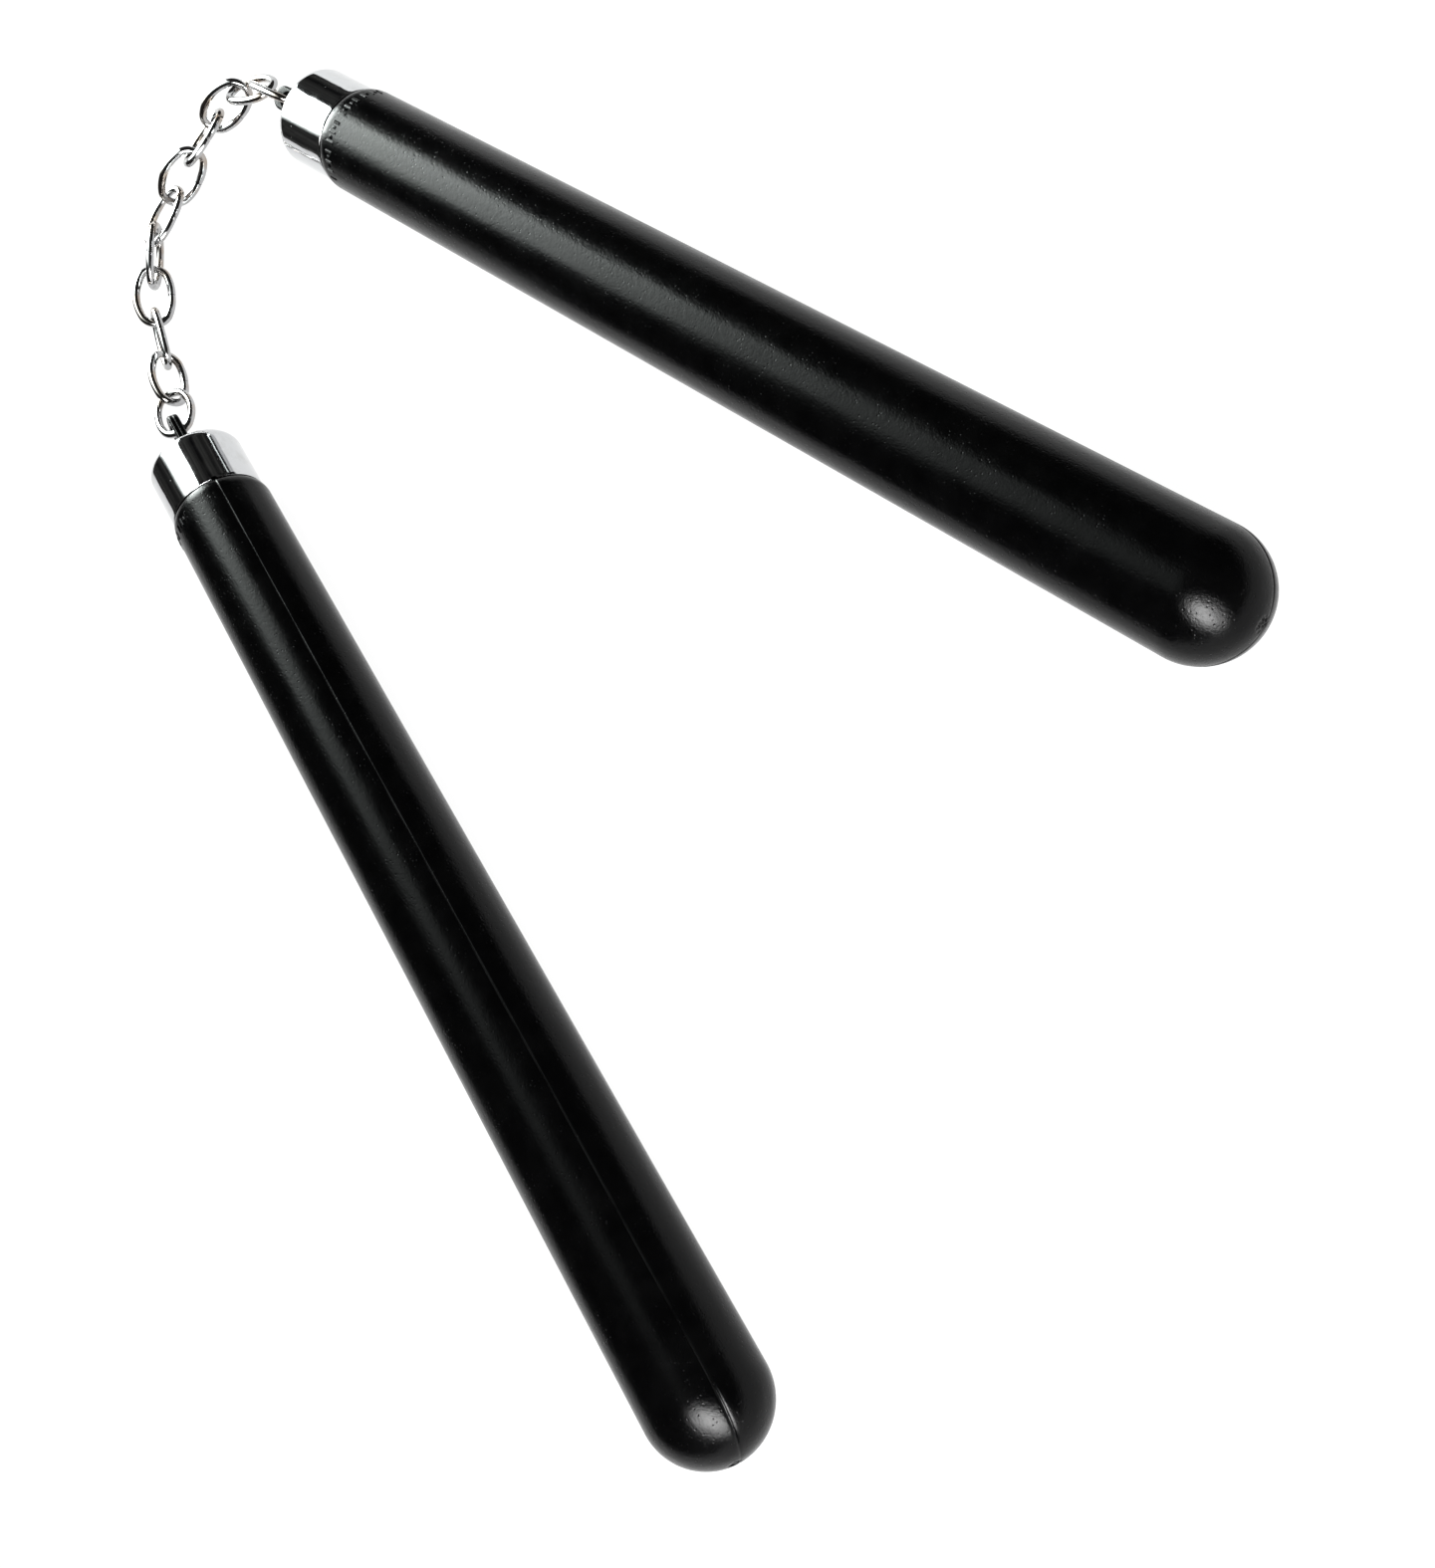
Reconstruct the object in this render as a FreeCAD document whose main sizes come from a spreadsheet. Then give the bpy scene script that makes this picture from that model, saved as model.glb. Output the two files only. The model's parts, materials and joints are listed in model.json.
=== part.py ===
import FreeCAD, Part
import math
import os
import Sketcher

# Practice nunchaku lying on a table: two hollow moulded sticks with plated end caps, joined by a
# chain of eleven oval wire links. Millimetres and degrees, +Z up, the table at Z = 0, and the
# origin under the middle of the whole object's box.
#
# Each stick is made in its own frame: X along the stick from the cap's rim towards the round end,
# Y across it in the plane of the moulding seam, Z square to the seam and along the chain hole.
# Each link is made in its own frame: X along it, Y across it, Z square to its plane.

SIZES = {
    # stick body
    "stick_length": 281.0,       # cap rim to round end
    "end_radius": 15.2,          # thick end, a half ball
    "cap_side_radius": 13.65,    # thin end, just past the shoulder
    "shoulder_radius": 12.75,    # where the shoulder meets the cap's rim
    "shoulder_length": 3.0,
    "shoulder_round": 5.4,
    "wall": 2.6,
    "solid_length": 8.0,         # solid part behind the shoulder
    "rib_width": 2.4,
    "boss_radius": 3.5,
    "peg_radius": 1.5,
    "peg_length": 4.0,
    "socket_radius": 1.6,
    "socket_depth": 4.6,
    # neck and chain lug, moulded with the stick
    "neck_length": 17.3,
    "neck_radius": 11.4,
    "neck_chamfer": 1.6,
    "lug_reach": 33.8,           # cap rim to the lug's end
    "lug_half_width": 3.2,
    "lug_half_thickness": 1.5,
    "lug_edge_round": 0.7,
    "hole_edge_round": 0.4,
    "hole_reach": 28.5,          # cap rim to the middle of the chain hole
    "hole_radius": 2.0,
    "key_radius": 0.7,
    # cap
    "cap_length": 19.0,
    "cap_radius": 12.9,
    "cap_wall": 1.4,
    "cap_corner": 3.2,
    "cap_crown": 0.6,
    "cap_crown_round": 78.7,
    "cap_top": 1.6,
    "rim_chamfer": 0.3,
    "slot_play": 0.25,
    "notch_radius": 0.9,
    # chain link
    "wire_radius": 1.1,
    "link_half_length": 8.5,     # to the middle of the wire
    "link_half_width": 4.7,
    "link_end_round": 3.854,
    "link_side_round": 14.07,
    "butt_gap": 0.2,
}
BAY_COUNT = 7

# How the object lies. A stick has its heading on the table and the turn of its seam from upright.
STICK_A = {"heading": -108, "seam_turn": -82}
STICK_B = {"heading": -130, "seam_turn": -40}
# Each link from stick a to stick b: its heading on the table, its rise, its roll about its own
# length, and how far its end wire lies from the end wire of the next link.
CHAIN_LAY = [
    (74, -10, 82, 5.5),
    (90, -10, 30, 4.3),
    (130, -13, -62, 5.0),
    (161, 7, 31, 4.0),
    (145, -15.4, -67, 3.8),
    (175, 9.4, 12, 5.1),
    (188, -7, 61, 4.9),
    (205, 4, -40, 3.2),
    (217, 1, 46, 3.1),
    (217, 12, -72, 3.1),
    (228, 18, 158, 0.0),
]
LUG_SEAT = 0.3                   # how far an end wire lies past the middle of a chain hole

doc = FreeCAD.newDocument("nunchaku")
sheet = doc.addObject("Spreadsheet::Sheet", "sizes")
for row, (alias, value) in enumerate(SIZES.items(), start=1):
    sheet.set("A%d" % row, alias)
    sheet.set("B%d" % row, str(value))
    sheet.setAlias("B%d" % row, alias)
doc.recompute()


class Size:
    """A length that knows its value and the sheet formula it comes from."""

    def __init__(self, value, formula):
        self.value = value
        self.formula = formula

    def _join(self, other, sign, value):
        text = other.formula if isinstance(other, Size) else repr(float(other))
        return Size(value, "(%s %s %s)" % (self.formula, sign, text))

    def __add__(self, other):
        return self._join(other, "+", self.value + value_of(other))

    def __sub__(self, other):
        return self._join(other, "-", self.value - value_of(other))

    def __mul__(self, other):
        return self._join(other, "*", self.value * value_of(other))

    def __truediv__(self, other):
        return self._join(other, "/", self.value / value_of(other))

    def __neg__(self):
        return self * -1


def value_of(length):
    return length.value if isinstance(length, Size) else float(length)


def formula_of(length):
    return length.formula if isinstance(length, Size) else repr(float(length))


def size(alias):
    """The size in the sheet cell of that alias."""
    return Size(float(sheet.get(alias)), "sizes.%s" % alias)


# Sketch helpers -------------------------------------------------------------------------------

def new_body(name):
    body = doc.addObject("PartDesign::Body", name)
    body.Label = name
    return body


def new_sketch(body, name, plane):
    """A sketch on one of the body's own origin planes: XY_Plane, XZ_Plane or YZ_Plane."""
    sketch = body.newObject("Sketcher::SketchObject", body.Name + "_" + name)
    for feature in body.Origin.OriginFeatures:
        if feature.Role == plane:
            sketch.AttachmentSupport = [(feature, "")]
    sketch.MapMode = "FlatFace"
    return sketch


def drive(sketch, kind, parts, length):
    """Add a dimension that follows the sheet."""
    index = sketch.addConstraint(Sketcher.Constraint(kind, *parts, value_of(length)))
    name = "d%d" % index
    sketch.renameConstraint(index, name)
    sketch.setExpression("Constraints." + name, formula_of(length))


def arc_between(start, end, radius, left_turn):
    """The shorter arc from start to end, curving to the left or to the right."""
    middle = (start + end) * 0.5
    half = (end - start) * 0.5
    rise = math.sqrt(max(radius ** 2 - half.Length ** 2, 0.0))
    aside = FreeCAD.Vector(-half.y, half.x, 0).normalize() * rise
    centre = middle + aside if left_turn else middle - aside
    first = math.atan2(start.y - centre.y, start.x - centre.x)
    last = math.atan2(end.y - centre.y, end.x - centre.x)
    circle = Part.Circle(centre, FreeCAD.Vector(0, 0, 1), radius)
    if left_turn:
        return Part.ArcOfCircle(circle, first, last if last > first else last + 2 * math.pi)
    return Part.ArcOfCircle(circle, last, first if first > last else first + 2 * math.pi)


def draw(sketch, corners, closed=True):
    """Draw an outline through corners of (x, y) or (x, y, radius, left_turn).

    A corner with a radius starts an arc of that radius to the next corner.
    """
    count = len(corners)
    spans = count if closed else count - 1
    joints = []
    for index in range(spans):
        corner = corners[index]
        following = corners[(index + 1) % count]
        start = FreeCAD.Vector(value_of(corner[0]), value_of(corner[1]), 0)
        end = FreeCAD.Vector(value_of(following[0]), value_of(following[1]), 0)
        if len(corner) == 2:
            edge = sketch.addGeometry(Part.LineSegment(start, end), False)
            joints.append((edge, 1, 2))
        else:
            arc = arc_between(start, end, value_of(corner[2]), corner[3])
            edge = sketch.addGeometry(arc, False)
            drive(sketch, "Radius", (edge,), corner[2])
            joints.append((edge, 1, 2) if corner[3] else (edge, 2, 1))
    for index in range(spans):
        edge, first, last = joints[index]
        drive(sketch, "DistanceX", (-1, 1, edge, first), corners[index][0])
        drive(sketch, "DistanceY", (-1, 1, edge, first), corners[index][1])
        if closed or index < spans - 1:
            next_edge, next_first, _ = joints[(index + 1) % spans]
            sketch.addConstraint(Sketcher.Constraint("Coincident", edge, last,
                                                     next_edge, next_first))
        else:
            drive(sketch, "DistanceX", (-1, 1, edge, last), corners[-1][0])
            drive(sketch, "DistanceY", (-1, 1, edge, last), corners[-1][1])


def draw_circle(sketch, x, y, radius):
    centre = FreeCAD.Vector(value_of(x), value_of(y), 0)
    circle = Part.Circle(centre, FreeCAD.Vector(0, 0, 1), value_of(radius))
    edge = sketch.addGeometry(circle, False)
    drive(sketch, "Radius", (edge,), radius)
    drive(sketch, "DistanceX", (-1, 1, edge, 3), x)
    drive(sketch, "DistanceY", (-1, 1, edge, 3), y)


# Feature helpers ------------------------------------------------------------------------------

def extrude(body, kind, sketch, length, reverse=False):
    """A pad or pocket of the sketch, its length tied to the sheet."""
    feature = body.newObject("PartDesign::" + kind, sketch.Name + "_" + kind.lower())
    feature.Profile = sketch
    feature.Length = value_of(length)
    feature.setExpression("Length", formula_of(length))
    feature.Reversed = reverse
    sketch.Visibility = False
    doc.recompute()
    return feature


def turn(body, kind, sketch, angle, reverse=False):
    """A revolution or groove of the sketch about its own X axis."""
    feature = body.newObject("PartDesign::" + kind, sketch.Name + "_" + kind.lower())
    feature.Profile = sketch
    feature.ReferenceAxis = (sketch, ["H_Axis"])
    feature.Angle = angle
    feature.Reversed = reverse
    doc.recompute()
    return feature


def round_edges(body, base, radius, wanted):
    """Fillet the edges of base for which wanted(edge) is true."""
    names = []
    for index, edge in enumerate(base.Shape.Edges, start=1):
        if wanted(edge):
            names.append("Edge%d" % index)
    fillet = body.newObject("PartDesign::Fillet", base.Name + "_round")
    fillet.Base = (base, names)
    fillet.Radius = value_of(radius)
    fillet.setExpression("Radius", formula_of(radius))
    doc.recompute()
    return fillet


# Stick ----------------------------------------------------------------------------------------

barrel_end = size("stick_length") - size("end_radius")


def outer_radius(x):
    """Radius of the tapered stick at x, between the shoulder and the round end."""
    growth = (size("end_radius") - size("cap_side_radius")) / (barrel_end - size("shoulder_length"))
    return size("cap_side_radius") + growth * (x - size("shoulder_length"))


def inner_radius(x):
    return outer_radius(x) - size("wall")


def bay_ends():
    """Start and end of each hollow bay between the ribs."""
    first = size("shoulder_length") + size("solid_length")
    pitch = (barrel_end - first + size("rib_width")) / BAY_COUNT
    return [(first + pitch * i, first + pitch * (i + 1) - size("rib_width"))
            for i in range(BAY_COUNT)]


def solid_half(body, lower):
    """Half of the stick with its neck, turned about the stick's axis."""
    neck_end = -size("neck_length")
    chamfer = size("neck_chamfer")
    sketch = new_sketch(body, "outline", "XY_Plane")
    draw(sketch, [
        (neck_end, 0),
        (neck_end, size("neck_radius") - chamfer),
        (neck_end + chamfer, size("neck_radius")),
        (0, size("neck_radius")),
        (0, size("shoulder_radius"), size("shoulder_round"), False),
        (size("shoulder_length"), size("cap_side_radius")),
        (barrel_end, size("end_radius"), size("end_radius"), False),
        (size("stick_length"), 0),
    ])
    return turn(body, "Revolution", sketch, 180, lower)


def hollow(body, lower):
    """Hollow bays with a rib left between each pair; the last follows the round end."""
    sketch = new_sketch(body, "bays", "XY_Plane")
    ends = bay_ends()
    for start, end in ends[:-1]:
        draw(sketch, [(start, 0), (start, inner_radius(start)), (end, inner_radius(end)), (end, 0)])
    start = ends[-1][0]
    inner_end = size("end_radius") - size("wall")
    draw(sketch, [
        (start, 0),
        (start, inner_radius(start)),
        (barrel_end, inner_end, inner_end, False),
        (size("stick_length") - size("wall"), 0),
    ])
    return turn(body, "Groove", sketch, 180, lower)


def lug_half(body, lower):
    """Half of the chain lug, with its hole and rounded edges."""
    half_width = size("lug_half_width")
    inside = -size("neck_length") + 2
    round_start = -size("lug_reach") + half_width
    sketch = new_sketch(body, "lug", "XY_Plane")
    draw(sketch, [
        (inside, -half_width),
        (inside, half_width),
        (round_start, half_width, half_width, True),
        (-size("lug_reach"), 0, half_width, True),
        (round_start, -half_width),
    ])
    extrude(body, "Pad", sketch, size("lug_half_thickness"), lower)
    sketch = new_sketch(body, "chain_hole", "XY_Plane")
    draw_circle(sketch, -size("hole_reach"), 0, size("hole_radius"))
    hole = extrude(body, "Pocket", sketch, size("lug_half_thickness") + 1, not lower)
    face_z = value_of(size("lug_half_thickness")) * (-1 if lower else 1)
    neck_x = -value_of(size("neck_length"))

    def is_hole_rim(edge):
        on_face = all(abs(vertex.Z - face_z) < 0.01 for vertex in edge.Vertexes)
        return on_face and abs(edge.BoundBox.XLength - 2 * SIZES["hole_radius"]) < 0.01

    def is_outer_edge(edge):
        on_face = all(abs(vertex.Z - face_z) < 0.01 for vertex in edge.Vertexes)
        return (on_face and not is_hole_rim(edge) and edge.BoundBox.XMax < neck_x + 0.01
                and edge.BoundBox.XLength > 0.01)

    outer = round_edges(body, hole, size("lug_edge_round"), is_outer_edge)
    return round_edges(body, outer, size("hole_edge_round"), is_hole_rim)


def cap_key(body, lower):
    """Half of the small key that stops the cap from turning."""
    radius = size("key_radius")
    sketch = new_sketch(body, "key", "XZ_Plane")
    side = -1 if lower else 1
    draw(sketch, [
        (-radius, 0),
        (-radius * 0.7, radius * (0.714 * side)),
        (radius * 0.7, radius * (0.714 * side)),
        (radius, 0),
    ])
    return extrude(body, "Pad", sketch, size("shoulder_radius"), True)


def seam_posts(body, lower):
    """Posts on the ribs: pegs on the lower half, sockets for them in the upper half."""
    ends = bay_ends()
    posts = new_sketch(body, "posts", "XY_Plane")
    fits = new_sketch(body, "pegs" if lower else "sockets", "XY_Plane")
    for start, _ in ends[1:]:
        middle = start - size("rib_width") / 2
        draw_circle(posts, middle, 0, size("boss_radius"))
        draw_circle(fits, middle, 0, size("peg_radius" if lower else "socket_radius"))
    extrude(body, "Pad", posts, inner_radius(ends[1][0]) + 0.5, lower)
    if lower:
        return extrude(body, "Pad", fits, size("peg_length"))
    return extrude(body, "Pocket", fits, size("socket_depth"), True)


def stick_half(name, lower):
    body = new_body(name)
    solid_half(body, lower)
    hollow(body, lower)
    seam_posts(body, lower)
    cap_key(body, lower)
    body.Tip = lug_half(body, lower)
    return body


def stick_cap(name):
    """Plated cap: a cup with a slot for the lug and a notch for the key."""
    inner = size("cap_radius") - size("cap_wall")
    crown_edge = -size("cap_length") + size("cap_crown")
    under_top = -size("cap_length") + size("cap_top")
    body = new_body(name)
    sketch = new_sketch(body, "outline", "XY_Plane")
    draw(sketch, [
        (0, inner),
        (0, size("cap_radius") - size("rim_chamfer")),
        (-size("rim_chamfer"), size("cap_radius")),
        (crown_edge + size("cap_corner"), size("cap_radius"), size("cap_corner"), True),
        (crown_edge, size("cap_radius") - size("cap_corner"), size("cap_crown_round"), True),
        (-size("cap_length"), 0),
        (under_top, 0),
        (under_top, inner - size("cap_corner") / 2),
        (under_top + size("cap_corner") / 2, inner),
    ])
    turn(body, "Revolution", sketch, 360)

    play = size("slot_play")
    half_width = size("lug_half_width") + play
    half_height = size("lug_half_thickness") + play
    slot = new_sketch(body, "slot", "YZ_Plane")
    draw(slot, [
        (-half_width, -half_height),
        (half_width, -half_height),
        (half_width, half_height),
        (-half_width, half_height),
    ])
    extrude(body, "Pocket", slot, size("cap_length") + 1)

    notch = new_sketch(body, "notch", "XZ_Plane")
    draw_circle(notch, 0, 0, size("notch_radius"))
    body.Tip = extrude(body, "Pocket", notch, size("cap_radius") + 1)
    return body


# Chain link -----------------------------------------------------------------------------------

def chain_link(name):
    """One wire bent to an oval of four arcs, its ends meeting in the middle of a long side."""
    length = size("link_half_length")
    width = size("link_half_width")
    end_round = size("link_end_round")
    side_round = size("link_side_round")
    reach = length - end_round
    share = end_round / (side_round - end_round)
    join_x = reach + reach * share
    join_y = (side_round - width) * share
    body = new_body(name)
    path = new_sketch(body, "path", "XY_Plane")
    draw(path, [
        (0, width, side_round, False),
        (join_x, join_y, end_round, False),
        (length, 0, end_round, False),
        (join_x, -join_y, side_round, False),
        (-join_x, -join_y, end_round, False),
        (-length, 0, end_round, False),
        (-join_x, join_y, side_round, False),
        (-size("butt_gap"), width),
    ], closed=False)
    wire = new_sketch(body, "wire", "YZ_Plane")
    draw_circle(wire, width, 0, size("wire_radius"))
    pipe = body.newObject("PartDesign::AdditivePipe", name + "_pipe")
    pipe.Profile = wire
    pipe.Spine = path
    doc.recompute()
    body.Tip = pipe
    return body


# Build ----------------------------------------------------------------------------------------

sticks = {}
for letter in ("a", "b"):
    sticks[letter] = [
        stick_half("stick_%s_top_shell" % letter, False),
        stick_half("stick_%s_bottom_shell" % letter, True),
        stick_cap("stick_%s_cap" % letter),
    ]
links = [chain_link("chain_link_%02d" % number) for number in range(1, len(CHAIN_LAY) + 1)]
doc.recompute()


# Place ----------------------------------------------------------------------------------------

def direction(heading, rise):
    """The unit vector with that heading on the table and that rise above it, in radians."""
    return FreeCAD.Vector(math.cos(heading) * math.cos(rise),
                          math.sin(heading) * math.cos(rise),
                          math.sin(rise))


def placement(origin, x_axis, y_axis):
    z_axis = x_axis.cross(y_axis)
    return FreeCAD.Placement(FreeCAD.Matrix(
        x_axis.x, y_axis.x, z_axis.x, origin.x,
        x_axis.y, y_axis.y, z_axis.y, origin.y,
        x_axis.z, y_axis.z, z_axis.z, origin.z,
        0, 0, 0, 1))


def stick_axes(stick):
    """The stick's own X and Y, tipped so that its tapered side lies on the table."""
    taper = (SIZES["end_radius"] - SIZES["cap_side_radius"]) / (
        value_of(barrel_end) - SIZES["shoulder_length"])
    x_axis = direction(math.radians(stick["heading"]), math.atan(taper))
    up = (FreeCAD.Vector(0, 0, 1) - x_axis * x_axis.z).normalize()
    seam_turn = math.radians(stick["seam_turn"])
    return x_axis, up * math.cos(seam_turn) + x_axis.cross(up) * math.sin(seam_turn)


def link_axes(heading, rise, roll):
    x_axis = direction(math.radians(heading), math.radians(rise))
    level = direction(math.radians(heading + 90), 0)
    tilt = math.radians(roll)
    return x_axis, level * math.cos(tilt) + x_axis.cross(level) * math.sin(tilt)


axis_height = value_of(outer_radius(size("shoulder_length") * 0))
to_hole = SIZES["hole_reach"]
to_tip = SIZES["link_half_length"]

a_axes = stick_axes(STICK_A)
b_axes = stick_axes(STICK_B)
a_origin = FreeCAD.Vector(0, 0, axis_height)

link_places = []
tip = None
for index, (heading, rise, roll, spacing) in enumerate(CHAIN_LAY):
    x_axis, y_axis = link_axes(heading, rise, roll)
    if tip is None:
        near_tip = a_origin - a_axes[0] * to_hole - x_axis * LUG_SEAT
    else:
        along = (last_axis + x_axis).normalize()
        near_tip = tip - along * last_spacing
    centre = near_tip + x_axis * to_tip
    link_places.append(placement(centre, x_axis, y_axis))
    tip = centre + x_axis * to_tip
    last_axis = x_axis
    last_spacing = spacing

b_origin = tip - last_axis * LUG_SEAT + b_axes[0] * to_hole
b_origin.z = axis_height

for body, place in zip(links, link_places):
    body.Placement = place
for letter, origin, axes in (("a", a_origin, a_axes), ("b", b_origin, b_axes)):
    for body in sticks[letter]:
        body.Placement = placement(origin, *axes)
doc.recompute()

bodies = sticks["a"] + sticks["b"] + links
box = FreeCAD.BoundBox()
for body in bodies:
    box.add(body.Shape.optimalBoundingBox(False, False))
to_origin = FreeCAD.Vector(-box.Center.x, -box.Center.y, -box.ZMin)
for body in bodies:
    place = body.Placement
    body.Placement = FreeCAD.Placement(place.Base + to_origin, place.Rotation)
doc.recompute()


# Check and write ------------------------------------------------------------------------------

for thing in doc.Objects:
    if "Invalid" in thing.State or "Error" in thing.State:
        raise RuntimeError("%s failed: %s" % (thing.Name, thing.State))
for body in bodies:
    if body.Shape.isNull() or not body.Shape.isValid() or len(body.Shape.Solids) != 1:
        raise RuntimeError("%s is not one valid solid" % body.Label)

os.makedirs("parts", exist_ok=True)
for body in bodies:
    body.Shape.exportStep("parts/%s.step" % body.Label)
    print("%-24s %10.1f mm3" % (body.Label, body.Shape.Volume))
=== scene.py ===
import math
import bmesh
import bpy
from mathutils import Matrix, Vector
from mathutils.noise import noise
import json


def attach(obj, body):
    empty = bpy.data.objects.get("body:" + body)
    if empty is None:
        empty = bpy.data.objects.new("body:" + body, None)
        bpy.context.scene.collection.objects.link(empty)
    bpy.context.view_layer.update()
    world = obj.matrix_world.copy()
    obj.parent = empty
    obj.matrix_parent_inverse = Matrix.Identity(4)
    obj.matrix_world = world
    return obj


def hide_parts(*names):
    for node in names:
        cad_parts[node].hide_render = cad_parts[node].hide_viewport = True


# Practice nunchaku: two black moulded sticks with plated caps, joined by a chain of 11 links.
# Every piece is made in millimetres in the frame of its own stick or link, as the CAD has it, and
# is then set in place in the row frame, which is in metres.

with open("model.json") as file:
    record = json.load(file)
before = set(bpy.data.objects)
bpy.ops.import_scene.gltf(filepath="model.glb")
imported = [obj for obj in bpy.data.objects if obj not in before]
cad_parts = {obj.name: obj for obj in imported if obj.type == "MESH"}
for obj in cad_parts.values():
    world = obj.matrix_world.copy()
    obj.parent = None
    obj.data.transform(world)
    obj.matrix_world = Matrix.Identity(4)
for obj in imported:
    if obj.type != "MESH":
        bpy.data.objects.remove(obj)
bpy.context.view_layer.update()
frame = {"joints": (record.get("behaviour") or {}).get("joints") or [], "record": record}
record = frame["record"]
joints = {joint["name"]: joint for joint in frame["joints"]}
mounts = {mount["name"]: mount for mount in record["mounts"]}

MM = 0.001
SHARP_ANGLE = 38                   # edges sharper than this, in degrees, aren't smoothed

# Sizes of the mouldings in millimetres. X runs along the stick from 0 at the cap's rim.
STICK_LENGTH = 281.0
END_RADIUS = 15.2                  # of the barrel at its round end, and of that end
CAP_SIDE_RADIUS = 13.65            # of the barrel next to the shoulder
SHOULDER_RADIUS = 12.75            # of the shoulder where it meets the cap's rim
SHOULDER_LENGTH = 3.0
SHOULDER_ROUND = 5.4
SHOULDER_EDGE = ((0.0, -0.15), (0.06, -0.03), (0.16, 0.05))    # x, and what the radius adds
BARREL_END = STICK_LENGTH - END_RADIUS
GRIP_MIDDLE = 134.4                # where the grip mount lies
NECK_LENGTH = 17.3
NECK_RADIUS = 11.4
NECK_CHAMFER = 1.6
LUG_REACH = 33.8
LUG_HALF_WIDTH = 3.2
LUG_HALF_THICKNESS = 1.5
LUG_ROOT = 1.0                     # how deep the lug starts inside the neck
LUG_EDGE = 0.7                     # radius of its outer edges
LUG_SEAM = ((0.0, 0.12), (0.08, 0.0))    # inset and height of its outline at the seam
HOLE_REACH = 28.5
HOLE_RADIUS = 2.0
HOLE_EASE = 0.4                    # radius of the hole's edges

# Caps
CAP_LENGTH = 19.0
CAP_RADIUS = 12.9
CAP_WALL = 1.4
CAP_CORNER = 3.2
CAP_CROWN = 0.6
CAP_CROWN_ROUND = 78.7
CAP_TOP = 1.6
RIM_CHAMFER = 0.16
RIM_GAP = 0.14
SLOT_PLAY = 0.25
SLOT_DEPTH = 6.0                   # of the cutter, whose middle lies SLOT_INSIDE inside the top
SLOT_INSIDE = 1.0
SLOT_CORNER = 0.6
NOTCH_RADIUS = 0.9
NOTCH_DEPTH = 4.0                  # of the cutter, whose middle lies NOTCH_INSIDE inside the wall
NOTCH_INSIDE = 0.5
SLIVER = 1e-4                      # faces narrower than this are dissolved after the cut

# Links
WIRE_RADIUS = 1.1
LINK_HALF_LENGTH = 8.5
LINK_HALF_WIDTH = 4.7
LINK_END_ROUND = 3.854
LINK_SIDE_ROUND = 14.07
BUTT_GAP = 0.2
LUG_SEAT = 0.3                     # play between link 1 and the chain hole it hangs in
WIRE_PINCH = 0.05                  # how much the shears squeeze the wire's ends
PINCH_RINGS = 1.5
WIRE_UNEVEN = 0.012                # how uneven the wire's surface is
WIRE_UNEVEN_SCALE = 0.9
SEED_STEP = 7.3                    # keeps the links' unevenness apart
END_INSET = 0.28                   # share of the radius that the wire's end faces draw in
END_BULGE = 0.06

# Facets: round a piece's axis, and in steps along its outline
HALF_TURN_FACETS = 200             # round half of a stick
SHOULDER_STEPS = 28
MARKS_STEPS = 32
BARREL_STEPS = 90
END_STEPS = 84
LUG_FACETS = 96
LUG_EDGE_STEPS = 6
HOLE_EDGE_STEPS = 5
CAP_FACETS = 240
CAP_RIM_STEPS = 6
CAP_SIDE_STEPS = 16
CAP_CORNER_STEPS = 20
CAP_CROWN_STEPS = 12
SLOT_CORNER_STEPS = 4
NOTCH_FACETS = 32
WIRE_FACETS = 32
LINK_ARC_STEPS = 12

# How the chain lies: heading, rise and roll of each link in degrees, and the play to the next link
# in millimetres
CHAIN_LAY = [
    (74, -10, 82, 5.5),
    (90, -10, 30, 4.3),
    (130, -13, -62, 5.0),
    (161, 7, 31, 4.0),
    (145, -15.4, -67, 3.8),
    (175, 9.4, 12, 5.1),
    (188, -7, 61, 4.9),
    (205, 4, -40, 3.2),
    (217, 1, 46, 3.1),
    (217, 12, -72, 3.1),
    (228, 18, 158, 0.0),
]


# Places ---------------------------------------------------------------------------------------

def place_matrix(origin, x_axis, z_axis):
    """From millimetres in a piece's own frame to metres in the row frame."""
    y_axis = z_axis.cross(x_axis)
    turn = Matrix((x_axis, y_axis, z_axis)).transposed().to_4x4()
    return Matrix.Translation(origin) @ turn


def stick_place(mount, joint):
    """A stick's own Z is its lug's hinge axis, taken upwards."""
    x_axis = Vector(mount["axis"]).normalized()
    z_axis = Vector(joint["axis"])
    if z_axis.z <= 0:
        z_axis = -z_axis
    z_axis = (z_axis - x_axis * z_axis.dot(x_axis)).normalized()
    origin = Vector(mount["pos_m"]) - x_axis * (GRIP_MIDDLE * MM)
    return place_matrix(origin, x_axis, z_axis)


def link_axes(heading, rise, roll):
    """A link's own X and Z: roll turns it about X, starting from flat on the table."""
    head, lift, tilt = (math.radians(a) for a in (heading, rise, roll))
    x_axis = Vector((math.cos(head) * math.cos(lift), math.sin(head) * math.cos(lift),
                     math.sin(lift)))
    level = Vector((-math.sin(head), math.cos(head), 0))
    y_axis = level * math.cos(tilt) + x_axis.cross(level) * math.sin(tilt)
    return x_axis, x_axis.cross(y_axis)


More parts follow.
